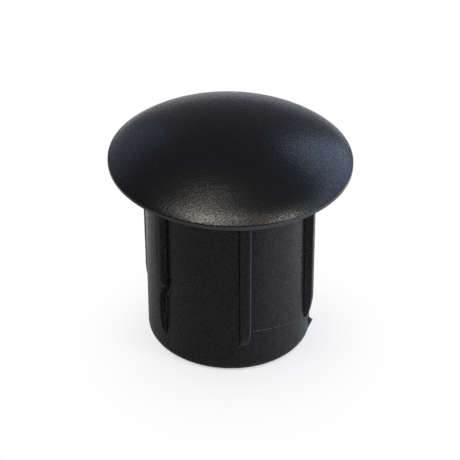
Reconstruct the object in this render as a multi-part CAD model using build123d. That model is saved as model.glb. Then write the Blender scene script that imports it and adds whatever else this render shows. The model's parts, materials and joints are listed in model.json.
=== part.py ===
from build123d import *
import math
import os

# Ribbed push-in plug that closes a drilled hole, moulded in one piece: a low domed
# head, a round shank that is hollow and open below, and upright press ribs.
# Millimetres. +Z runs up the axis from the open end to the crown of the head, and the
# origin is the centre of the open end, which the plug stands on.

# The drilled hole that the plug closes
hole_diameter = 12.0

# Head: a thin upright rim, a rounded shoulder and a crown that is part of a sphere
head_diameter = 16.0
rim_height = 0.36
rim_edge_radius = 0.06
shoulder_radius = 1.0
shoulder_edge_slope = 42.0
crown_radius = 14.6

# Shank: a plain parallel pilot below, then a drafted wall up to the head
shank_length = 13.15
pilot_clearance = 0.52
pilot_length = 1.75
shank_draft = 0.1
foot_outer_radius = 0.45

# Hollow, moulded round a drafted core whose end follows the crown
foot_wall = 1.15
core_draft = 0.5
head_wall = 1.3
core_corner_radius = 0.5
foot_inner_radius = 0.12

# Press ribs: flat crests, tapered in height, with a quarter ellipse as the lead-in
rib_count = 6
rib_width = 0.58
rib_bite = 0.04
rib_entry_gap = 0.06
rib_pilot_gap = 0.15
rib_lead_length = 1.45
rib_root_overlap = 0.3
first_rib_angle = 30.0

NODE = "hole_plug"

# Radii and heights that follow from the sizes above
hole_radius = hole_diameter / 2
head_radius = head_diameter / 2
pilot_radius = hole_radius - pilot_clearance
shank_top_radius = pilot_radius + (shank_length - pilot_length) * math.tan(math.radians(shank_draft))
rim_top = shank_length + rim_height
core_mouth_radius = pilot_radius - foot_wall
core_end_radius = crown_radius - head_wall
rib_tip = pilot_length + rib_pilot_gap
rib_shoulder = rib_tip + rib_lead_length

# The shoulder is tangent to the crown, and ends at the rim with its own slope
edge_slope = math.radians(shoulder_edge_slope)
shoulder_centre_radius = head_radius - shoulder_radius * math.sin(edge_slope)
shoulder_centre_height = rim_top - shoulder_radius * math.cos(edge_slope)
crown_slope = math.asin(shoulder_centre_radius / (crown_radius - shoulder_radius))
crown_centre = shoulder_centre_height - (crown_radius - shoulder_radius) * math.cos(crown_slope)


def wall_radius(height):
    """Radius of the shank's outer wall at a height above the pilot."""
    return pilot_radius + (height - pilot_length) * math.tan(math.radians(shank_draft))


def core_meeting():
    """Radius and height where the drafted core wall runs into its domed end."""
    slope = math.tan(math.radians(core_draft))
    # The wall is r = mouth - slope * z, and the end is a circle about the crown's centre
    a = 1 + slope**2
    b = -2 * (core_mouth_radius * slope + crown_centre)
    c = core_mouth_radius**2 + crown_centre**2 - core_end_radius**2
    height = (-b + math.sqrt(b**2 - 4 * a * c)) / (2 * a)
    return core_mouth_radius - slope * height, height


def on_arc(radius, slope, centre_radius, centre_height):
    """Point of an arc in the XZ plane where the surface has a slope, in radians."""
    return (
        centre_radius + radius * math.sin(slope),
        0,
        centre_height + radius * math.cos(slope),
    )


def crown_point(radius, slope):
    """Point at a slope on a sphere about the crown's centre."""
    return on_arc(radius, slope, 0, crown_centre)


def shoulder_point(slope):
    """Point of the shoulder's arc at a slope."""
    return on_arc(shoulder_radius, slope, shoulder_centre_radius, shoulder_centre_height)


def turned(*edges):
    """Solid of revolution about Z from a closed outline in the XZ plane."""
    return revolve(make_face(Wire(list(edges))), axis=Axis.Z)


def head_and_shank():
    """Outer form without the ribs, turned from one outline."""
    foot, pilot_top = (0, 0, 0), (pilot_radius, 0, pilot_length)
    foot_edge = (pilot_radius, 0, 0)
    neck = (shank_top_radius, 0, shank_length)
    seat_edge, rim_edge = (head_radius, 0, shank_length), (head_radius, 0, rim_top)
    shoulder_top, peak = shoulder_point(crown_slope), crown_point(crown_radius, 0)
    body = turned(
        Line(foot, foot_edge),
        Line(foot_edge, pilot_top),
        Line(pilot_top, neck),
        Line(neck, seat_edge),
        Line(seat_edge, rim_edge),
        ThreePointArc(rim_edge, shoulder_point((edge_slope + crown_slope) / 2), shoulder_top),
        ThreePointArc(shoulder_top, crown_point(crown_radius, crown_slope / 2), peak),
        Line(peak, foot),
    )
    body = fillet(circles_at(body, rim_top, head_radius), rim_edge_radius)
    return fillet(circles_at(body, 0, pilot_radius), foot_outer_radius)


def circles_at(solid, height, radius):
    """Round edges of a solid at a height above the foot, with a given radius."""
    near = 1e-4
    return [
        edge
        for edge in solid.edges().filter_by(GeomType.CIRCLE)
        if abs(edge.arc_center.Z - height) < near and abs(edge.radius - radius) < near
    ]


def core():
    """The hollow's form: a drafted pin with a domed end and a rounded corner."""
    meet_radius, meet_height = core_meeting()
    mouth = (core_mouth_radius, 0, 0)
    corner = (meet_radius, 0, meet_height)
    end = crown_point(core_end_radius, 0)
    half_slope = math.asin(meet_radius / core_end_radius) / 2
    end_middle = crown_point(core_end_radius, half_slope)
    pin = turned(
        Line((0, 0, 0), mouth),
        Line(mouth, corner),
        ThreePointArc(corner, end_middle, end),
        Line(end, (0, 0, 0)),
    )
    return fillet(circles_at(pin, meet_height, meet_radius), core_corner_radius)


def press_rib():
    """One rib on +X, from its lead-in below to the underside of the head."""
    crest_top = hole_radius + rib_bite
    crest_shoulder = hole_radius - rib_entry_gap
    tip_radius = wall_radius(rib_tip)
    inside_top = (shank_top_radius - rib_root_overlap, 0, shank_length)
    inside_tip = (tip_radius - rib_root_overlap, 0, rib_tip)
    tip, shoulder = (tip_radius, 0, rib_tip), (crest_shoulder, 0, rib_shoulder)
    lead_in = EllipticalCenterArc(
        (tip_radius, rib_shoulder),
        crest_shoulder - tip_radius,
        rib_lead_length,
        start_angle=270,
        arc_size=90,
    )
    side = Wire(
        [
            Line(inside_top, inside_tip),
            Line(inside_tip, tip),
            Plane.XZ.location * lead_in,
            Line(shoulder, (crest_top, 0, shank_length)),
            Line((crest_top, 0, shank_length), inside_top),
        ]
    )
    return extrude(make_face(side), amount=rib_width / 2, both=True)


def hole_plug():
    """The whole plug as one solid."""
    plug = head_and_shank()
    rib = press_rib()
    for index in range(rib_count):
        plug += Rot(Z=first_rib_angle + index * 360 / rib_count) * rib
    plug -= core()
    mouth = circles_at(plug, 0, core_mouth_radius)
    return fillet(mouth, foot_inner_radius)


plug = hole_plug()
plug.label = NODE
os.makedirs("parts", exist_ok=True)
export_step(plug, f"parts/{NODE}.step")
print(f"{NODE}: {plug.volume:.1f} mm3, crest {2 * (hole_radius + rib_bite):.2f} mm across")
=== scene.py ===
"""A ribbed push-in hole plug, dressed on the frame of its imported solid.

Everything is in metres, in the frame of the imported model: +Z runs up the plug's axis
and the origin is the centre of the open foot that the plug stands on.
"""

import json
import logging
import math
from dataclasses import dataclass
from enum import Enum
from typing import Any

import bpy
import numpy as np
from mathutils import Matrix, Vector

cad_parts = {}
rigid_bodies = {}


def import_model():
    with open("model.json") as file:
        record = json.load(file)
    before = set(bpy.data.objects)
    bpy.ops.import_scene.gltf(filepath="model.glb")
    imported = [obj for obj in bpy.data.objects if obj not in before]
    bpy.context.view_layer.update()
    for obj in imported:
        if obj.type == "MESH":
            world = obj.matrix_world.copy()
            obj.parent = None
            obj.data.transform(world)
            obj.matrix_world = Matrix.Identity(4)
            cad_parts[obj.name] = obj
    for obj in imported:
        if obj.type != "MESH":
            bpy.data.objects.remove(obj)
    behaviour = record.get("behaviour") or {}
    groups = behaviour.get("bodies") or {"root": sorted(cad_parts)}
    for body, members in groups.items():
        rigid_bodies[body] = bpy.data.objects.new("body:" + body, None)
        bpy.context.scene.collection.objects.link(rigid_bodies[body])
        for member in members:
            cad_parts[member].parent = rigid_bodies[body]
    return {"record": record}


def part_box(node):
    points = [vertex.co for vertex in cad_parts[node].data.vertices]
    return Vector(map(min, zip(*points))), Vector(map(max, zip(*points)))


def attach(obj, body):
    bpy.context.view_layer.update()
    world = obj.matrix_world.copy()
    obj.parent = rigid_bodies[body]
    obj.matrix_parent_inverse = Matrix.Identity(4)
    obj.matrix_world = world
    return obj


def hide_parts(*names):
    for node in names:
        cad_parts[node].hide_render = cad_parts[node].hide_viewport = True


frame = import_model()

NODE = "hole_plug"
MM = 0.001

log = logging.getLogger("hole_plug")


# ---------------------------------------------------------------------------
# Shader graphs
# ---------------------------------------------------------------------------


class Link:
    """A shader socket that Python's operators work on.

    Numbers go through Math nodes, and vectors and colours through Vector Math.
    """

    def __init__(self, graph: "Graph", socket: bpy.types.NodeSocket) -> None:
        """Wraps one output socket.

        Args:
            graph: the graph that the socket belongs to.
            socket: the output socket.
        """
        self.graph = graph
        self.socket = socket

    @property
    def is_number(self) -> bool:
        """True if the socket carries one number."""
        return self.socket.type == "VALUE"

    def _apply(self, operation: str, *operands: Any) -> "Link":
        """Adds the node of one operation.

        Args:
            operation: the Math or Vector Math operation.
            operands: links, numbers or vectors, in the node's order.

        Returns:
            The result.
        """
        numbers = all(o.is_number if isinstance(o, Link) else not isinstance(o, tuple) for o in operands)
        kind = "ShaderNodeMath" if numbers else "ShaderNodeVectorMath"
        if not numbers:
            operands = tuple((o, o, o) if isinstance(o, (int, float)) else o for o in operands)
        return self.graph.node(kind, {"operation": operation}, dict(enumerate(operands)))

    def __add__(self, other: Any) -> "Link":
        """self + other."""
        return self._apply("ADD", self, other)

    def __radd__(self, other: Any) -> "Link":
        """other + self."""
        return self._apply("ADD", other, self)

    def __sub__(self, other: Any) -> "Link":
        """self - other."""
        return self._apply("SUBTRACT", self, other)

    def __rsub__(self, other: Any) -> "Link":
        """other - self."""
        return self._apply("SUBTRACT", other, self)

    def __mul__(self, other: Any) -> "Link":
        """self * other."""
        return self._apply("MULTIPLY", self, other)

    def __rmul__(self, other: Any) -> "Link":
        """other * self."""
        return self._apply("MULTIPLY", other, self)

    def step(self, low: float, high: float) -> "Link":
        """A smooth step over a range.

        Args:
            low: where the result is 0.
            high: where the result is 1. It may be below low.

        Returns:
            A number from 0 to 1.
        """
        span = {"From Min": min(low, high), "From Max": max(low, high)}
        ends = {"To Min": float(low > high), "To Max": float(low < high)}
        settings = {"interpolation_type": "SMOOTHSTEP"}
        return self.graph.node("ShaderNodeMapRange", settings, {"Value": self, **span, **ends})


class Graph:
    """A node tree of a material or a world, built by one method for every kind of node."""

    def __init__(self, owner: bpy.types.Material | bpy.types.World) -> None:
        """Empties the owner's node tree.

        Args:
            owner: the material or world.
        """
        self.owner = owner
        owner.use_nodes = True
        self.tree = owner.node_tree
        self.tree.nodes.clear()

    @classmethod
    def material(cls, name: str) -> "Graph":
        """Starts a new material's graph."""
        return cls(bpy.data.materials.new(name))

    def node(
        self,
        kind: str,
        settings: dict[str, Any] | None = None,
        inputs: dict[str | int, Any] | None = None,
        output: str | int = 0,
    ) -> Link:
        """Adds one node.

        Args:
            kind: the node's type.
            settings: the node's own settings, which are set before its sockets.
            inputs: values or links, by the socket's name or number.
            output: the output wanted, by its name or number.

        Returns:
            A link from that output.
        """
        node = self.tree.nodes.new(kind)
        for name, value in (settings or {}).items():
            setattr(node, name, value)
        for key, value in (inputs or {}).items():
            if isinstance(value, Link):
                self.tree.links.new(value.socket, node.inputs[key])
            else:
                node.inputs[key].default_value = value
        return Link(self, node.outputs[output])

    def mix(self, factor: Any, low: Any, high: Any) -> Link:
        """Blends two colours.

        Args:
            factor: 0 gives low and 1 gives high.
            low: a colour or a link.
            high: a colour or a link.

        Returns:
            The colour.
        """
        settings = {"data_type": "RGBA", "clamp_factor": True}
        return self.node("ShaderNodeMix", settings, {0: factor, 6: low, 7: high}, 2)

    def finish(self, shader: Link) -> bpy.types.Material | bpy.types.World:
        """Ends the graph in its output.

        Args:
            shader: the shader that shows.

        Returns:
            The finished material or world.
        """
        kind = "Material" if isinstance(self.owner, bpy.types.Material) else "World"
        output = self.tree.nodes.new(f"ShaderNodeOutput{kind}")
        self.tree.links.new(shader.socket, output.inputs["Surface"])
        return self.owner


# ---------------------------------------------------------------------------
# Sizes
# ---------------------------------------------------------------------------


@dataclass(frozen=True)
class RibCut:
    """How one rib was cut in the mould, in millimetres.

    left and right are the places of its two flanks beside the rib's middle plane, at the
    head and at the foot. late is how much higher its tip lies than the nominal one. lead is
    the length of the lead-in, and lead_power is 2 for an elliptical one and 1 for a straight
    one. The nose is rounded in plan over nose_left and nose_right of its length. Below
    step_height the right flank is cut back by step, and slant is how far its crest is cut
    back. The last flag paints a highlight on the rib's right edge, which is made paler.
    """

    late: float
    lead: float = 1.45
    lead_power: float = 2.0
    step: float = 0.0
    step_height: float = 5.25
    left: tuple[float, float] = (-0.29, -0.28)
    right: tuple[float, float] = (0.29, 0.28)
    nose: float = 0.0
    nose_left: float = 0.12
    nose_right: float = 0.12
    slant: float = 0.0
    # paints a highlight: a paler right crest edge
    wear_and_highlight: bool = False


@dataclass(frozen=True)
class RibSizes:
    """The press ribs, in metres, and the cut of each, in millimetres."""

    first_angle: float = math.radians(30.0)
    width: float = 0.58 * MM
    crest_top: float = 6.02 * MM
    crest_shoulder: float = 5.95 * MM
    tip: float = 1.90 * MM
    crest_round: float = 0.055 * MM
    root_round: float = 0.05 * MM
    flank_lean: float = 0.012 * MM
    cuts: tuple[RibCut, ...] = (
        RibCut(0.3),
        RibCut(0.5),
        RibCut(0.25, right=(0.57, 0.56), slant=0.28),
        RibCut(-0.3, lead=2.3, step=0.19, right=(0.15, 0.15), nose=0.06, nose_left=1.5, nose_right=0.8),
        RibCut(
            0.22,
            left=(-0.33, -0.31),
            right=(0.42, 0.37),
            nose=-0.15,
            nose_left=0.15,
            nose_right=1.2,
            # the front rib's right edge carries a painted highlight
            wear_and_highlight=True,
        ),
        RibCut(0.0, lead=2.0, lead_power=1.6, left=(-0.19, -0.2)),
    )

    @property
    def count(self) -> int:
        """Number of ribs."""
        return len(self.cuts)


@dataclass(frozen=True)
class PlugSizes:
    """The plug's own sizes, in metres: overall ones from the frame, the rest named here."""

    HEAD_SWELL = 0.05 * MM
    SHANK_SWELL = 0.025 * MM

    head_radius: float
    seat: float
    pilot_radius: float
    pilot_top: float
    rim_height: float = 0.34 * MM
    shoulder_radius: float = 5.2 * MM
    shoulder_edge_slope: float = math.radians(42.0)
    crown_radius: float = 15.36 * MM
    rim_upper_round: float = 0.1 * MM
    rim_lower_round: float = 0.06 * MM
    wall_draft: float = math.radians(0.1)
    foot_outer_round: float = 0.45 * MM
    foot_inner_round: float = 0.12 * MM
    foot_wall: float = 1.15 * MM
    core_draft: float = math.radians(0.5)
    head_wall: float = 1.3 * MM
    core_corner_round: float = 0.5 * MM

    @classmethod
    def from_frame(cls, record: dict[str, Any]) -> "PlugSizes":
        """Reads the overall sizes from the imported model.

        Args:
            record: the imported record.

        Returns:
            The sizes.
        """
        low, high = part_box(NODE)
        mounts = {mount["name"]: mount for mount in record["mounts"]}
        pilot, seat = mounts["pilot"], mounts["head_seat"]
        return cls(
            head_radius=(high[0] - low[0]) / 2 + cls.HEAD_SWELL,
            seat=seat["pos_m"][2],
            pilot_radius=pilot["dims"]["r_mm"] * MM + cls.SHANK_SWELL,
            pilot_top=pilot["pos_m"][2] + pilot["dims"]["length_mm"] * MM / 2,
        )

    @property
    def rim_top(self) -> float:
        """Height of the edge where the rim meets the dome."""
        return self.seat + self.rim_height

    @property
    def shoulder_centre(self) -> tuple[float, float]:
        """Radius and height of the centre of the shoulder's arc."""
        slope, radius = self.shoulder_edge_slope, self.shoulder_radius
        return self.head_radius - radius * math.sin(slope), self.rim_top - radius * math.cos(slope)

    @property
    def crown_slope(self) -> float:
        """Slope, in radians, where the crown meets the shoulder."""
        return math.asin(self.shoulder_centre[0] / (self.crown_radius - self.shoulder_radius))

    @property
    def crown_centre(self) -> float:
        """Height of the centre of the crown's sphere."""
        reach = self.crown_radius - self.shoulder_radius
        return self.shoulder_centre[1] - reach * math.cos(self.crown_slope)

    @property
    def height(self) -> float:
        """Height of the whole plug."""
        return self.crown_centre + self.crown_radius

    def wall(self, z: np.ndarray | float) -> np.ndarray | float:
        """Radius of the shank's outer wall.

        Args:
            z: height above the foot.

        Returns:
            The radius, constant along the pilot and drafted above it.
        """
        return self.pilot_radius + math.tan(self.wall_draft) * np.maximum(z - self.pilot_top, 0.0)

    def bore(self, z: float) -> float:
        """Radius of the hollow's wall at a height above the foot."""
        return self.pilot_radius - self.foot_wall - math.tan(self.core_draft) * z


# ---------------------------------------------------------------------------
# The moulded shell
# ---------------------------------------------------------------------------


class Zone(Enum):
    """Parts of the plug's skin that are finished in their own way."""

    DOME = 0
    RIM = 1
    SEAT = 2
    WALL = 3
    FOOT = 4
    HOLLOW = 5
    # paler zone: a painted highlight along the rim's lower rounding and the left-front rib's left edge, and
    # real scuffs and a sliver
    RIM_EDGE = 6
    # paler zone: real wear, nicks, a burr and specks, and painted highlights on the front rib's right edge,
    # the witness line and the foot's rounding
    WEAR_AND_HIGHLIGHT = 7


@dataclass(frozen=True)
class Lean:
    """How far the shank's axis lies off the head's, in metres, as the plug cooled."""

    turn: float = math.radians(-11.2)
    at_seat: float = -0.151 * MM
    at_foot: float = 0.145 * MM

    def shift(self, z: float, seat: float) -> np.ndarray:
        """Sideways shift of the shank's axis.

        Args:
            z: height above the foot.
            seat: height of the seat under the head.

        Returns:
            The shift along X and Y.
        """
        share = min(z / seat, 1.0)
        size = self.at_foot + (self.at_seat - self.at_foot) * share
        return size * np.array([math.cos(self.turn), math.sin(self.turn)])


@dataclass(frozen=True)
class Uneven:
    """The head's lower edge, which is shallower on one side, in metres and radians."""

    turn: float = math.radians(205.0)
    spread: float = math.radians(70.0)
    rise: float = 0.08 * MM

    def lift(self, angle: np.ndarray) -> np.ndarray:
        """Height of the edge over its nominal place.

        Args:
            angle: angles round the plug.

        Returns:
            One height for each angle.
        """
        away = np.abs((angle - self.turn + math.pi) % math.tau - math.pi)
        return self.rise * np.clip(np.cos(away / self.spread * math.pi / 2), 0, 1) ** 2 * (
            away < self.spread
        )


@dataclass(frozen=True)
class Column:
    """One upright line of the skin's mesh: its rib, and where it lies on that rib."""

    rib: int
    side: float
    rise: float


@dataclass(frozen=True)
class Ring:
    """One turn of the skin's mesh."""

    radius: float
    z: float
    zone: Zone


@dataclass(frozen=True)
class WallMark:
    """A thin raised line or flake on the shank, such as a witness line, a burr or a nick.

    path holds, for each place, the angle in degrees, the height over the foot, how far off
    the wall the mark stands and how high it is itself. All lengths are in millimetres.
    """

    path: tuple[tuple[float, float, float, float], ...]
    width: float
    zone: Zone = Zone.WEAR_AND_HIGHLIGHT

    PITCH = 0.05
    WALL_RADIUS = 5.5
    SUNK = 0.03 * MM

    def _places(self) -> np.ndarray:
        """The path in steps of one pitch at most."""
        places = [np.array(self.path[0])]
        for start, end in zip(map(np.array, self.path), map(np.array, self.path[1:])):
            arc = math.radians(end[0] - start[0]) * self.WALL_RADIUS
            steps = max(1, math.ceil(math.hypot(arc, end[1] - start[1]) / self.PITCH))
            places += [start + (end - start) * step / steps for step in range(1, steps + 1)]
        return np.array(places)

    def mesh(self, sizes: PlugSizes, lean: Lean) -> tuple[np.ndarray, list[tuple[int, ...]]]:
        """The mark as a closed ridge that grows out of the wall.

        Args:
            sizes: the plug's sizes.
            lean: the lean of the shank.

        Returns:
            Points and faces.
        """
        angle, z, off, height = self._places().T
        turn, z = np.radians(angle), z * MM
        radius = sizes.wall(z) + off * MM
        outward = np.stack([np.cos(turn), np.sin(turn), np.zeros(len(turn))], 1)
        foot = outward * radius[:, None]
        foot[:, 2] = z
        foot[:, :2] += np.array([lean.shift(level, sizes.seat) for level in z])
        along = np.gradient(foot, axis=0)
        along /= np.linalg.norm(along, axis=1)[:, None]
        across = np.cross(outward, along) * (self.width / 2 * MM)
        sunk = outward * self.SUNK
        top = foot + outward * (height * MM)[:, None]
        points = np.stack([foot - across - sunk, top, foot + across - sunk], 1).reshape(-1, 3)
        faces: list[tuple[int, ...]] = [(0, 1, 2)]
        for step in range(len(foot) - 1):
            here, after = step * 3, step * 3 + 3
            faces += [(here + k, after + k, after + (k + 1) % 3, here + (k + 1) % 3) for k in range(3)]
        last = len(points) - 3
        faces.append((last + 2, last + 1, last))
        return points, faces


MARKS = (
    # Witness line round the right of the pilot, made paler as a painted highlight where it catches the light
    WallMark(
        (
            (273.1, 3.2, 0, 0.03),
            (294.2, 3.01, 0, 0.035),
            (303.4, 2.81, 0, 0.03),
            (314.5, 2.53, 0, 0.015),
            (326.8, 2.1, 0, 0.0),
        ),
        0.07,
    ),
    # Burr on the pilot's far right
    WallMark(
        ((342.0, 0.95, 0, 0.14), (342.0, 0.88, 0, 0.26), (342.0, 0.6, 0, 0.16), (342.0, 0.2, 0, 0.0)),
        0.4,
    ),
    # Nick in the left-front rib, and the sliver that hangs from it
    WallMark(((211.0, 6.05, 0.42, 0.06), (211.9, 5.9, 0.38, 0.12), (213.2, 5.85, 0.28, 0.08)), 0.14),
    WallMark(((213.4, 5.3, 0.04, 0.05), (213.5, 5.15, 0.03, 0.12), (213.4, 5.0, 0.02, 0.05)), 0.12),
    WallMark(
        ((211.9, 5.0, 0.05, 0.03), (211.8, 4.2, 0.05, 0.05), (211.5, 3.3, 0.03, 0.04), (211.3, 2.9, 0, 0.0)),
        0.05,
        Zone.RIM_EDGE,
    ),
    # Painted highlight: a paler line along the left edge of the left-front rib
    WallMark(
        ((207.5, 12.7, 0.49, 0.02), (207.5, 8.0, 0.46, 0.02), (207.5, 4.2, 0.41, 0.02)),
        0.06,
        Zone.RIM_EDGE,
    ),
    # Scuff on the left
    WallMark(((192.5, 4.7, 0, 0.0), (193.5, 4.35, 0, 0.012), (195.0, 4.2, 0, 0.0)), 0.25, Zone.RIM_EDGE),
    WallMark(((195.0, 4.2, 0, 0.0), (196.5, 3.85, 0, 0.012), (197.5, 3.6, 0, 0.0)), 0.2, Zone.RIM_EDGE),
    # Scratch and specks
    WallMark(
        ((305.6, 8.05, 0, 0.0), (303.6, 7.4, 0, 0.012), (301.8, 6.85, 0, 0.02), (299.6, 6.1, 0, 0.0)),
        0.05,
    ),
    WallMark(((301.7, 6.86, 0, 0.02), (301.9, 6.82, 0, 0.04), (302.1, 6.78, 0, 0.02)), 0.07),
    WallMark(((265.9, 2.05, 0, 0.04), (266.4, 2.02, 0, 0.09), (267.0, 1.99, 0, 0.04)), 0.12),
    WallMark(((330.6, 4.98, 0, 0.02), (331.0, 4.93, 0, 0.06), (331.4, 4.88, 0, 0.02)), 0.07),
    # Painted highlight: a thin paler line along the foot's rounding
    WallMark(((262.0, 0.2, -0.076, 0.0), (272.0, 0.2, -0.076, 0.02), (292.0, 0.2, -0.076, 0.0)), 0.06),
)


class PlugShell:
    """The plug's whole skin as one closed mesh of rings and columns."""

    PANEL_STEPS = 16
    PANEL_CROWDING = 1.35
    ROUND_STEPS = 3
    CREST_MIDDLE = 0.4
    STEP_RAMP = 0.15
    NOSE_END = 0.98
    FADE_REACH = 1.2
    CREST_EDGE_RISE = 0.85
    HIGHLIGHT_TIP_GAP = 0.05 * MM
    SEAT_GAP = 0.15 * MM
    NICK_TOP = 5.35 * MM

    def __init__(self, sizes: PlugSizes, ribs: RibSizes) -> None:
        """Lays out the columns.

        Args:
            sizes: the plug's sizes.
            ribs: the ribs' sizes.
        """
        self.sizes = sizes
        self.ribs = ribs
        self.columns = self._columns()
        self.rib_angle = ribs.first_angle + np.array(
            [column.rib * math.tau / ribs.count for column in self.columns]
        )
        self.side = np.array([column.side for column in self.columns])
        self.rise = np.array([column.rise for column in self.columns])
        self.tips = ribs.tip + np.array([cut.late for cut in ribs.cuts]) * MM
        self.leads = np.array([cut.lead for cut in ribs.cuts]) * MM
        self.lead_powers = np.array([cut.lead_power for cut in ribs.cuts])
        self.lean = Lean()
        self.uneven = Uneven()

    def _rib_section(self) -> list[tuple[float, float]]:
        """Half of a rib's section, from its root to the middle of its crest.

        Returns:
            Distance from the rib's middle plane, and share of its height.
        """
        ribs = self.ribs
        half, full = ribs.width / 2, ribs.crest_top - self.sizes.wall(self.sizes.seat)
        section = []
        for step in range(self.ROUND_STEPS + 1):
            turn = math.pi / 2 * step / self.ROUND_STEPS
            side = half + ribs.flank_lean + ribs.root_round * (1 - math.sin(turn))
            section.append((side, ribs.root_round * (1 - math.cos(turn)) / full))
        for step in range(self.ROUND_STEPS + 1):
            turn = math.pi / 2 * step / self.ROUND_STEPS
            side = half - ribs.crest_round * (1 - math.cos(turn))
            section.append((side, 1 - ribs.crest_round * (1 - math.sin(turn)) / full))
        section.append((half * self.CREST_MIDDLE, 1.0))
        return section

    def _edges(self, z: float) -> np.ndarray:
        """Places of every rib's two flanks.

        Args:
            z: height above the foot.

        Returns:
            The left and right flank of each rib, beside its middle plane.
        """
        share = z / self.sizes.seat
        edges = []
        for cut, tip in zip(self.ribs.cuts, self.tips):
            pair = []
            for (at_head, at_foot), length in ((cut.left, cut.nose_left), (cut.right, cut.nose_right)):
                edge = at_foot + (at_head - at_foot) * share
                if edge > 0:
                    edge -= cut.step * float(np.clip((cut.step_height - z / MM) / self.STEP_RAMP, 0, 1))
                below = min(max(1 - (z - tip) / (length * MM), 0.0), self.NOSE_END)
                pair.append(cut.nose + (edge - cut.nose) * math.sqrt(1 - below**2))
            edges.append(pair)
        return np.array(edges) * MM

    def _columns(self) -> list[Column]:
        """All columns in order round the plug, with the wall between two ribs after each rib."""
        section = self._rib_section()
        radius = self.sizes.pilot_radius
        edge = section[0][0]
        reach = radius * math.sin(math.pi / self.ribs.count)
        steps = self.PANEL_STEPS // 2
        panel = []
        for step in range(1, steps + 1):
            share = (step / steps) ** self.PANEL_CROWDING
            turn = math.asin(edge / radius) * (1 - share) + math.pi / self.ribs.count * share
            panel.append(radius * math.sin(turn) if step < steps else reach)
        columns = []
        for rib in range(self.ribs.count):
            columns += [Column(rib, -side, 0.0) for side in reversed(panel[:-1])]
            columns += [Column(rib, -side, rise) for side, rise in section]
            columns += [Column(rib, side, rise) for side, rise in reversed(section)]
            columns += [Column(rib, side, 0.0) for side in panel]
        return columns

    def _highlight_down_to(self, column: Column) -> float:
        """Height down to which a column lies on an edge with a painted highlight, out of reach if on none.
        """
        outer = self.ribs.width / 2 - self.ribs.crest_round * 1.01
        on_edge = column.rise > self.CREST_EDGE_RISE and column.side > outer
        wear_and_highlight = self.ribs.cuts[column.rib].wear_and_highlight and on_edge
        return self.tips[column.rib] + self.HIGHLIGHT_TIP_GAP if wear_and_highlight else math.inf

    def _rib_height(self, z: float) -> np.ndarray:
        """Height of every rib's crest over the wall.

        Args:
            z: height above the foot.

        Returns:
            One height for each rib, 0 below its tip.
        """
        ribs, sizes = self.ribs, self.sizes
        shoulder = self.tips + self.leads
        share = np.clip((z - shoulder) / (sizes.seat - shoulder), 0.0, 1.0)
        crest = ribs.crest_shoulder + (ribs.crest_top - ribs.crest_shoulder) * share
        full = crest - sizes.wall(z)
        below = np.clip((shoulder - z) / self.leads, 0.0, 1.0)
        return full * (1 - below**self.lead_powers) ** (1 / self.lead_powers)

    def _squeezed(self, z: float) -> np.ndarray:
        """Where each column lies beside its rib's middle plane, once the flanks are placed.

        Args:
            z: height above the foot.

        Returns:
            One place for each column. The wall away from the ribs stays where it is.
        """
        half = self.ribs.width / 2
        left, right = self._edges(z)[[column.rib for column in self.columns]].T
        inside = np.clip(self.side / half, -1, 1)
        moved = (left + right) / 2 + inside * (right - left) / 2
        spare = self.side - inside * half
        fade = np.clip(1 - np.abs(spare) / (self.FADE_REACH * half), 0, 1)
        slant = np.array([self.ribs.cuts[column.rib].slant for column in self.columns]) * MM
        return self.side + (moved - inside * half) * fade - slant * self.rise * (self.side > 0)

    def _place(self, ring: Ring) -> np.ndarray:
        """Points of one ring.

        Args:
            ring: the ring.

        Returns:
            One point for each column.
        """
        if ring.zone is Zone.WALL:
            side = self._squeezed(ring.z)
            height = self._rib_height(ring.z)[[column.rib for column in self.columns]]
            out = np.sqrt(ring.radius**2 - side**2) + height * self.rise
        else:
            turn = np.arcsin(self.side / self.sizes.pilot_radius)
            side, out = ring.radius * np.sin(turn), ring.radius * np.cos(turn)
        cos, sin = np.cos(self.rib_angle), np.sin(self.rib_angle)
        points = np.stack([out * cos - side * sin, out * sin + side * cos, np.full(len(side), ring.z)], 1)
        seat, edge = self.sizes.seat, self.sizes.head_radius
        if ring.zone in (Zone.WALL, Zone.FOOT, Zone.HOLLOW):
            points[:, :2] += self.lean.shift(ring.z, seat)
        elif ring.zone is Zone.SEAT:
            inward = np.clip((edge - ring.radius) / (edge - self.ribs.crest_top), 0, 1)
            points[:, :2] += self.lean.shift(seat, seat) * inward
        if ring.zone in (Zone.RIM, Zone.RIM_EDGE, Zone.SEAT):
            angle = np.arctan2(points[:, 1], points[:, 0])
            near_edge = np.clip((ring.radius - self.ribs.crest_top) / (edge - self.ribs.crest_top), 0, 1)
            low = np.clip((self.sizes.rim_top - ring.z) / self.sizes.rim_height, 0, 1)
            points[:, 2] += self.uneven.lift(angle) * near_edge * low
        return points

    def _arc(
        self,
        centre: tuple[float, float],
        radius: float,
        start: float,
        end: float,
        steps: int,
        zone: Zone,
    ) -> list[Ring]:
        """Rings along an arc of the turned outline.

        Args:
            centre: radius and height of the arc's centre.
            radius: the arc's radius.
            start: first angle in degrees, 0 outwards and 90 upwards.
            end: last angle in degrees.
            steps: number of rings, less one.
            zone: the skin's zone.

        Returns:
            The rings, both ends among them.
        """
        turns = [math.radians(start + (end - start) * step / steps) for step in range(steps + 1)]
        return [
            Ring(centre[0] + radius * math.cos(t), centre[1] + radius * math.sin(t), zone)
            for t in turns
        ]

    def _dome_rings(self) -> list[Ring]:
        """The crown, from close to its peak, and the shoulder."""
        sizes = self.sizes
        meet = 90 - math.degrees(sizes.crown_slope)
        edge = 90 - math.degrees(sizes.shoulder_edge_slope)
        crown = self._arc((0, sizes.crown_centre), sizes.crown_radius, 89.6, meet, 60, Zone.DOME)
        centre, radius = sizes.shoulder_centre, sizes.shoulder_radius
        return crown + self._arc(centre, radius, meet, edge, 12, Zone.DOME)[1:-1]

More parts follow.
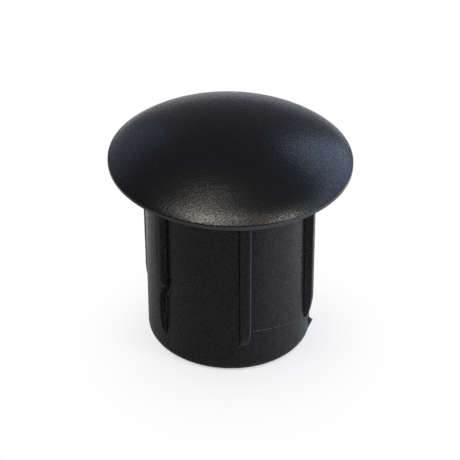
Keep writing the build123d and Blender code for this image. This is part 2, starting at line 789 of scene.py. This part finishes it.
    def _rim_rings(self) -> list[Ring]:
        """The rounding over the rim, its upright band and the small rounding below."""
        sizes = self.sizes
        upper, lower = sizes.rim_upper_round, sizes.rim_lower_round
        slope = sizes.shoulder_edge_slope
        edge = 90 - math.degrees(slope)
        drop = upper * (1 - math.sin(slope)) / math.cos(slope)
        over = (sizes.head_radius - upper, sizes.rim_top - drop)
        under = (sizes.head_radius - lower, sizes.seat + lower)
        rings = self._arc(over, upper, edge, 0, 8, Zone.RIM)
        # the lower rounding is painted paler, a painted highlight along the rim's lower edge
        rings += self._arc(under, lower, 0, -90, 5, Zone.RIM_EDGE)
        return rings

    def _seat_rings(self) -> list[Ring]:
        """The flat under the head, from the rim in to the ribs."""
        sizes = self.sizes
        outer = sizes.head_radius - sizes.rim_lower_round * 1.5
        inner = self.ribs.crest_top + self.SEAT_GAP
        return [
            Ring(outer + (inner - outer) * step / 5, sizes.seat, Zone.SEAT) for step in range(6)
        ]

    def _wall_rings(self) -> list[Ring]:
        """The shank's outer wall with its ribs, from the head down to the foot's rounding."""
        sizes = self.sizes
        foot = sizes.foot_outer_round
        lowest, nicked = self.tips.min() - 0.1 * MM, self.NICK_TOP
        spans = [
            (sizes.seat, nicked, 0.45 * MM),
            (nicked, self.tips.max() + 0.3 * MM, 0.06 * MM),
            (self.tips.max() + 0.3 * MM, lowest, 0.03 * MM),
            (lowest, foot, 0.2 * MM),
        ]
        heights = [sizes.seat]
        for start, end, pitch in spans:
            steps = max(1, round((start - end) / pitch))
            heights += [start + (end - start) * step / steps for step in range(1, steps + 1)]
        return [Ring(float(sizes.wall(z)), z, Zone.WALL) for z in heights]

    def _foot_rings(self) -> list[Ring]:
        """The foot: its outer rounding, the flat that it stands on and its inner rounding."""
        sizes = self.sizes
        outer, inner = sizes.foot_outer_round, sizes.foot_inner_round
        rings = self._arc((sizes.pilot_radius - outer, outer), outer, 0, -90, 7, Zone.FOOT)[1:]
        mouth = sizes.bore(0) + inner
        rings.append(Ring((rings[-1].radius + mouth) / 2, 0.0, Zone.FOOT))
        rings += self._arc((mouth, inner), inner, 270, 180, 4, Zone.FOOT)
        return rings

    def _hollow_rings(self) -> list[Ring]:
        """The hollow: its drafted wall, the rounded corner and the end that follows the dome."""
        sizes = self.sizes
        end_radius, corner = sizes.crown_radius - sizes.head_wall, sizes.core_corner_round
        axis_radius = sizes.bore(sizes.seat) - corner
        axis_height = sizes.crown_centre + math.sqrt((end_radius - corner) ** 2 - axis_radius**2)
        meet = math.degrees(math.acos(axis_radius / (end_radius - corner)))
        foot = sizes.foot_inner_round
        rings = []
        for step in range(1, 15):
            z = foot + (axis_height - foot) * step / 15
            rings.append(Ring(sizes.bore(z), z, Zone.HOLLOW))
        rings += self._arc((axis_radius, axis_height), corner, 0, meet, 6, Zone.HOLLOW)
        rings += self._arc((0, sizes.crown_centre), end_radius, meet, 89.0, 12, Zone.HOLLOW)[1:]
        return rings

    def build(self) -> bpy.types.Object:
        """Makes the mesh.

        Returns:
            The object, with its faces' zones as an attribute.
        """
        sizes = self.sizes
        rings = [
            *self._dome_rings(),
            *self._rim_rings(),
            *self._seat_rings(),
            *self._wall_rings(),
            *self._foot_rings(),
            *self._hollow_rings(),
        ]
        count = len(self.columns)
        points = np.concatenate([self._place(ring) for ring in rings])
        crown = len(points)
        roof = sizes.crown_centre + sizes.crown_radius - sizes.head_wall
        points = np.vstack([points, [(0, 0, sizes.height), (0, 0, roof)]])
        faces: list[tuple[int, ...]] = []
        zones: list[int] = []
        highlight_down_to = [self._highlight_down_to(column) for column in self.columns]
        for turn, (upper, lower) in enumerate(zip(rings, rings[1:])):
            zone = lower.zone if lower.zone is not Zone.WALL or upper.zone is Zone.WALL else Zone.SEAT
            for index in range(count):
                after = (index + 1) % count
                here, below = turn * count, (turn + 1) * count
                faces.append((here + index, below + index, below + after, here + after))
                # faces on a rib edge with a painted highlight take the paler colour
                edge = zone is Zone.WALL and lower.z > max(highlight_down_to[index], highlight_down_to[after])
                zones.append(Zone.WEAR_AND_HIGHLIGHT.value if edge else zone.value)
        last = (len(rings) - 1) * count
        for index in range(count):
            after = (index + 1) % count
            faces.append((crown, index, after))
            zones.append(Zone.DOME.value)
            faces.append((crown + 1, last + after, last + index))
            zones.append(Zone.HOLLOW.value)
        for mark in MARKS:
            more, joined = mark.mesh(sizes, self.lean)
            base = len(points)
            points = np.vstack([points, more])
            faces += [tuple(base + corner for corner in face) for face in joined]
            zones += [mark.zone.value] * len(joined)
        mesh = bpy.data.meshes.new("plug_body")
        mesh.from_pydata(points.tolist(), [], faces)
        mesh.shade_smooth()
        mesh.attributes.new("zone", "FLOAT", "FACE").data.foreach_set("value", [float(z) for z in zones])
        piece = bpy.data.objects.new("plug_body", mesh)
        bpy.context.scene.collection.objects.link(piece)
        even = piece.modifiers.new("even_normals", "WEIGHTED_NORMAL")
        even.weight = 50
        even.keep_sharp = False
        return piece


# ---------------------------------------------------------------------------
# Finishes
# ---------------------------------------------------------------------------


@dataclass(frozen=True)
class MouldedPlastic:
    """Black plastic as it comes from a spark-eroded mould: a fine speckled gloss."""

    colour: tuple[float, float, float] = (0.0018, 0.0018, 0.002)
    # paler colour of painted highlights on the rim's lower edge and a rib's edge, and of real scuffs
    edge_highlight_and_scuff_colour: tuple[float, float, float] = (0.03, 0.03, 0.03)
    # paler colour of real wear and marks, also used for painted highlights
    wear_and_highlight_colour: tuple[float, float, float] = (0.03, 0.03, 0.03)
    dull: float = 0.17
    dull_roughness: float = 0.34
    bright: float = 0.33
    bright_roughness: float = 0.24
    speckle_size: float = 0.11 * MM
    grain_size: float = 0.2 * MM
    grain_depth: float = 0.015 * MM

    def material(self) -> bpy.types.Material:
        """Builds the material."""
        graph = Graph.material("moulded_plastic")
        place = graph.node("ShaderNodeTexCoord", {}, {}, "Object")
        zone = graph.node("ShaderNodeAttribute", {"attribute_name": "zone"}, {}, "Fac")
        # mask of the paler rim edge zone: painted highlights and real scuffs
        edge = zone.step(Zone.RIM_EDGE.value - 0.5, Zone.RIM_EDGE.value - 0.4)
        # mask of the paler zone for real wear and painted highlights
        wear_and_highlight = zone.step(Zone.WEAR_AND_HIGHLIGHT.value - 0.5, Zone.WEAR_AND_HIGHLIGHT.value - 0.4)
        speckle = self._noise(graph, place, self.speckle_size, 1.0).step(0.3, 0.7)
        grain = self._noise(graph, place, self.grain_size, 3.0)
        bump = graph.node(
            "ShaderNodeBump", {}, {"Height": grain, "Distance": self.grain_depth, "Strength": 1.0}
        )
        colour = graph.mix(edge, (*self.colour, 1.0), (*self.edge_highlight_and_scuff_colour, 1.0))
        colour = graph.mix(wear_and_highlight, colour, (*self.wear_and_highlight_colour, 1.0))
        shaders = [
            graph.node(
                "ShaderNodeBsdfPrincipled",
                {},
                {"Base Color": colour, "Roughness": rough, "Specular IOR Level": level, "Normal": bump},
            )
            for level, rough in ((self.dull, self.dull_roughness), (self.bright, self.bright_roughness))
        ]
        mixed = graph.node("ShaderNodeMixShader", {}, {0: speckle, 1: shaders[0], 2: shaders[1]})
        return graph.finish(mixed)

    @staticmethod
    def _noise(graph: Graph, place: Link, size: float, detail: float) -> Link:
        """Noise with blotches of a size."""
        inputs = {"Vector": place, "Scale": 1 / size, "Detail": detail, "Roughness": 0.6}
        return graph.node("ShaderNodeTexNoise", {}, inputs)


@dataclass(frozen=True)
class StudioFloor:
    """The pale floor, in metres.

    To the camera it runs from a painted soft shade near the plug, which the plug's own
    shadow also falls on, to plain white further out, about a point that lies forward of the
    foot. To every other ray it is painted darker in front and paler behind, along
    mirrored_way, a painted shade that the shank reflects as its sheen.
    """

    colour: tuple[float, float, float] = (0.6, 0.6, 0.6)
    front_mirrored_shade: tuple[float, float, float] = (0.37, 0.37, 0.37)
    back_mirrored: tuple[float, float, float] = (0.65, 0.65, 0.65)
    mirrored_way: tuple[float, float, float] = (0.83, 0.56, 0.0)
    mirrored_span: tuple[float, float] = (-0.0075, 0.0025)
    size: float = 0.6
    near_white: float = 0.5
    white_from: float = 0.0
    white_to: float = 0.0125
    forward: float = 0.0035

    def material(self) -> bpy.types.Material:
        """Builds the material."""
        graph = Graph.material("pale_floor")
        place = graph.node("ShaderNodeTexCoord", {}, {}, "Object")
        shifted = place + (0.0, self.forward, 0.0)
        away = graph.node("ShaderNodeVectorMath", {"operation": "LENGTH"}, {0: shifted}, "Value")
        paths = graph.node("ShaderNodeLightPath", {}, {}, "Is Camera Ray")
        dot = {"operation": "DOT_PRODUCT"}
        # reflected rays see the floor darker in front: painted shade for the shank's sheen
        along = graph.node("ShaderNodeVectorMath", dot, {0: place, 1: self.mirrored_way}, "Value")
        back = along.step(*self.mirrored_span)
        mirrored = graph.mix(back, (*self.front_mirrored_shade, 1.0), (*self.back_mirrored, 1.0))
        seen = graph.mix(paths, mirrored, (*self.colour, 1.0))
        matt = graph.node("ShaderNodeBsdfDiffuse", {}, {"Color": seen})
        white = graph.node("ShaderNodeEmission", {}, {"Color": (1, 1, 1, 1), "Strength": 1.0})
        # near the plug less white shows: a painted soft shade round the foot, on top of the real shadow in
        # the matt part
        share = paths * (away.step(self.white_from, self.white_to) * (1 - self.near_white) + self.near_white)
        return graph.finish(graph.node("ShaderNodeMixShader", {}, {0: share, 1: matt, 2: white}))

    def build(self) -> bpy.types.Object:
        """Makes the floor, at the foot's height."""
        half = self.size / 2
        mesh = bpy.data.meshes.new("floor")
        corners = [(-half, -half, 0), (half, -half, 0), (half, half, 0), (-half, half, 0)]
        mesh.from_pydata(corners, [], [(0, 1, 2, 3)])
        mesh.materials.append(self.material())
        floor = bpy.data.objects.new("floor", mesh)
        bpy.context.scene.collection.objects.link(floor)
        return floor


# ---------------------------------------------------------------------------
# Studio
# ---------------------------------------------------------------------------


WARM = (1.0, 0.94, 0.84)
COOL = (0.55, 0.7, 1.0)


@dataclass(frozen=True)
class SoftLamp:
    """A square soft lamp that points at the plug.

    azimuth is counted from the camera's side, positive to its right, and elevation is
    above the floor, both in degrees. size and distance are in metres, and radiance is
    how bright the lamp's face looks.
    """

    name: str
    azimuth: float
    elevation: float
    size: float
    radiance: float
    colour: tuple[float, float, float]
    distance: float = 0.3

    def build(self, target: Vector, camera_turn: float) -> bpy.types.Object:
        """Places the lamp.

        Args:
            target: the point that the lamp faces.
            camera_turn: the camera's own turn about the plug, in radians.

        Returns:
            The lamp.
        """
        turn = math.radians(self.azimuth) + camera_turn - math.pi / 2
        rise = math.radians(self.elevation)
        away = Vector((math.cos(rise) * math.cos(turn), math.cos(rise) * math.sin(turn), math.sin(rise)))
        data = bpy.data.lights.new(self.name, "AREA")
        data.shape = "SQUARE"
        data.size = self.size
        data.color = self.colour
        data.energy = self.radiance * math.pi * self.size**2
        lamp = bpy.data.objects.new(self.name, data)
        lamp.location = target + away * self.distance
        lamp.rotation_euler = away.to_track_quat("Z", "Y").to_euler()
        bpy.context.scene.collection.objects.link(lamp)
        return lamp


@dataclass(frozen=True)
class StudioCamera:
    """A long lens that looks down on the plug. Angles are in degrees, lengths in metres."""

    turn: float = -11.23
    elevation: float = 34.785
    roll: float = 1.263
    distance: float = 154.01 * MM
    lens: float = 183.91
    aim_right: float = 0.027 * MM
    aim_up: float = 4.516 * MM

    def build(self, centre: Vector) -> bpy.types.Object:
        """Places the camera.

        Args:
            centre: the middle of the underside of the head.

        Returns:
            The camera, which is made the scene's own.
        """
        turn, rise, roll = (math.radians(a) for a in (self.turn, self.elevation, self.roll))
        ahead = Vector((-math.sin(turn) * math.cos(rise), math.cos(turn) * math.cos(rise), -math.sin(rise)))
        level = Vector((math.cos(turn), math.sin(turn), 0))
        upright = level.cross(ahead)
        right = level * math.cos(roll) + upright * math.sin(roll)
        up = upright * math.cos(roll) - level * math.sin(roll)
        data = bpy.data.cameras.new("camera")
        data.lens = self.lens
        data.sensor_width = 36.0
        data.clip_start = 0.001
        data.clip_end = 10.0
        camera = bpy.data.objects.new("camera", data)
        place = centre - ahead * self.distance - right * self.aim_right - up * self.aim_up
        axes = Matrix((right, up, -ahead)).transposed().to_4x4()
        camera.matrix_world = Matrix.Translation(place) @ axes
        bpy.context.scene.collection.objects.link(camera)
        bpy.context.scene.camera = camera
        return camera


class Studio:
    """The floor, lamps, camera and surroundings."""

    LAMPS = (
        SoftLamp("key_right", 65.0, 48.0, 0.07, 20.0, WARM),
        SoftLamp("key_left", -35.0, 65.0, 0.07, 18.0, WARM),
        SoftLamp("top_front", 0.0, 70.0, 0.08, 9.0, WARM),
        SoftLamp("top_left", -60.0, 65.0, 0.1, 5.0, WARM),
        SoftLamp("top_back", -90.0, 80.0, 0.08, 5.0, WARM),
        SoftLamp("fill_right", 45.0, 60.0, 0.08, 3.0, WARM),
        SoftLamp("window_low", 60.0, 10.0, 0.16, 10.0, COOL),
        SoftLamp("window_side", 95.0, 30.0, 0.16, 2.5, COOL),
        SoftLamp("window_back", 135.0, 25.0, 0.2, 2.5, COOL),
        SoftLamp("window_left", -140.0, 15.0, 0.2, 0.4, COOL),
    )

    SURROUND = (0.23, 0.23, 0.28, 1.0)

    def __init__(self, sizes: PlugSizes) -> None:
        """Keeps what the studio is set out from.

        Args:
            sizes: the plug's sizes.
        """
        self.sizes = sizes

    def build(self) -> None:
        """Makes the studio."""
        StudioFloor().build()
        camera = StudioCamera()
        camera.build(Vector((0, 0, self.sizes.seat)))
        middle = Vector((0, 0, self.sizes.height / 2))
        for lamp in self.LAMPS:
            lamp.build(middle, math.radians(camera.turn))
        self._surroundings()
        bpy.context.scene.view_settings.view_transform = "Standard"

    def _surroundings(self) -> None:
        """White for the camera, and a plain soft level for light and reflections."""
        graph = Graph(bpy.data.worlds.new("surroundings"))
        camera_ray = graph.node("ShaderNodeLightPath", {}, {}, "Is Camera Ray")
        soft = graph.node("ShaderNodeBackground", {}, {"Color": self.SURROUND, "Strength": 1.0})
        white = graph.node("ShaderNodeBackground", {}, {"Color": (1, 1, 1, 1), "Strength": 1.0})
        shown = graph.node("ShaderNodeMixShader", {}, {0: camera_ray, 1: soft, 2: white})
        bpy.context.scene.world = graph.finish(shown)


def main() -> None:
    """Builds the plug and its studio, and reports each piece."""
    logging.basicConfig(level=logging.INFO, format="%(message)s")
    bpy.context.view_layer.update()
    sizes = PlugSizes.from_frame(frame["record"])
    body = PlugShell(sizes, RibSizes()).build()
    body.data.materials.append(MouldedPlastic().material())
    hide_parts(NODE)
    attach(body, "root")
    log.info("plug_body: %d faces", len(body.data.polygons))
    Studio(sizes).build()


if __name__ == "__main__":
    main()
